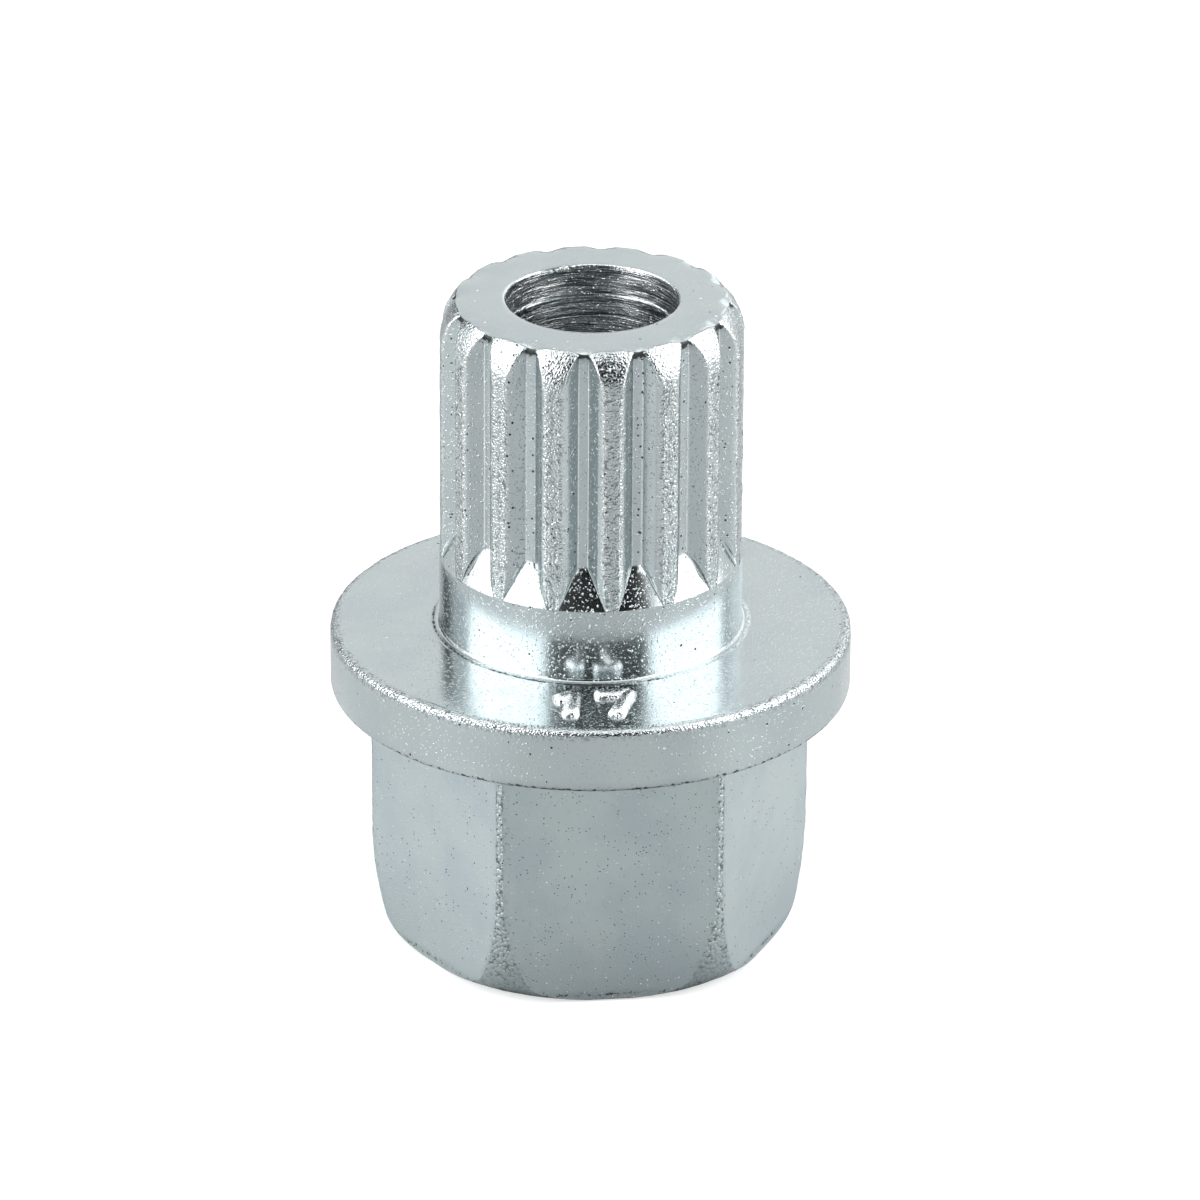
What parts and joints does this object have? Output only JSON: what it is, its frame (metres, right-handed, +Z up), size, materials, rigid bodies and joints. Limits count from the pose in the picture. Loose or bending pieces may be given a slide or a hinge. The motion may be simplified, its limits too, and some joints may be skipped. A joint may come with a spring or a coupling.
{
  "type": "locking wheel nut key",
  "caption": "One-piece steel key for locking wheel nuts: wrench hexagon, flange and splined post with a bore through it.",
  "frame": {"origin": "centre of the foot, the flat end of the hexagon", "axes": "+Z up the bore to the splined end; a flat of the hexagon faces -Y; +X to the right"},
  "size_m": [0.023, 0.023, 0.0299],
  "materials": {
    "zinc_plated_steel": "bright zinc plating, satin, finely pitted"
  },
  "bodies": {
    "root": {"wheel_nut_key": "zinc_plated_steel"}
  },
  "joints": []
}
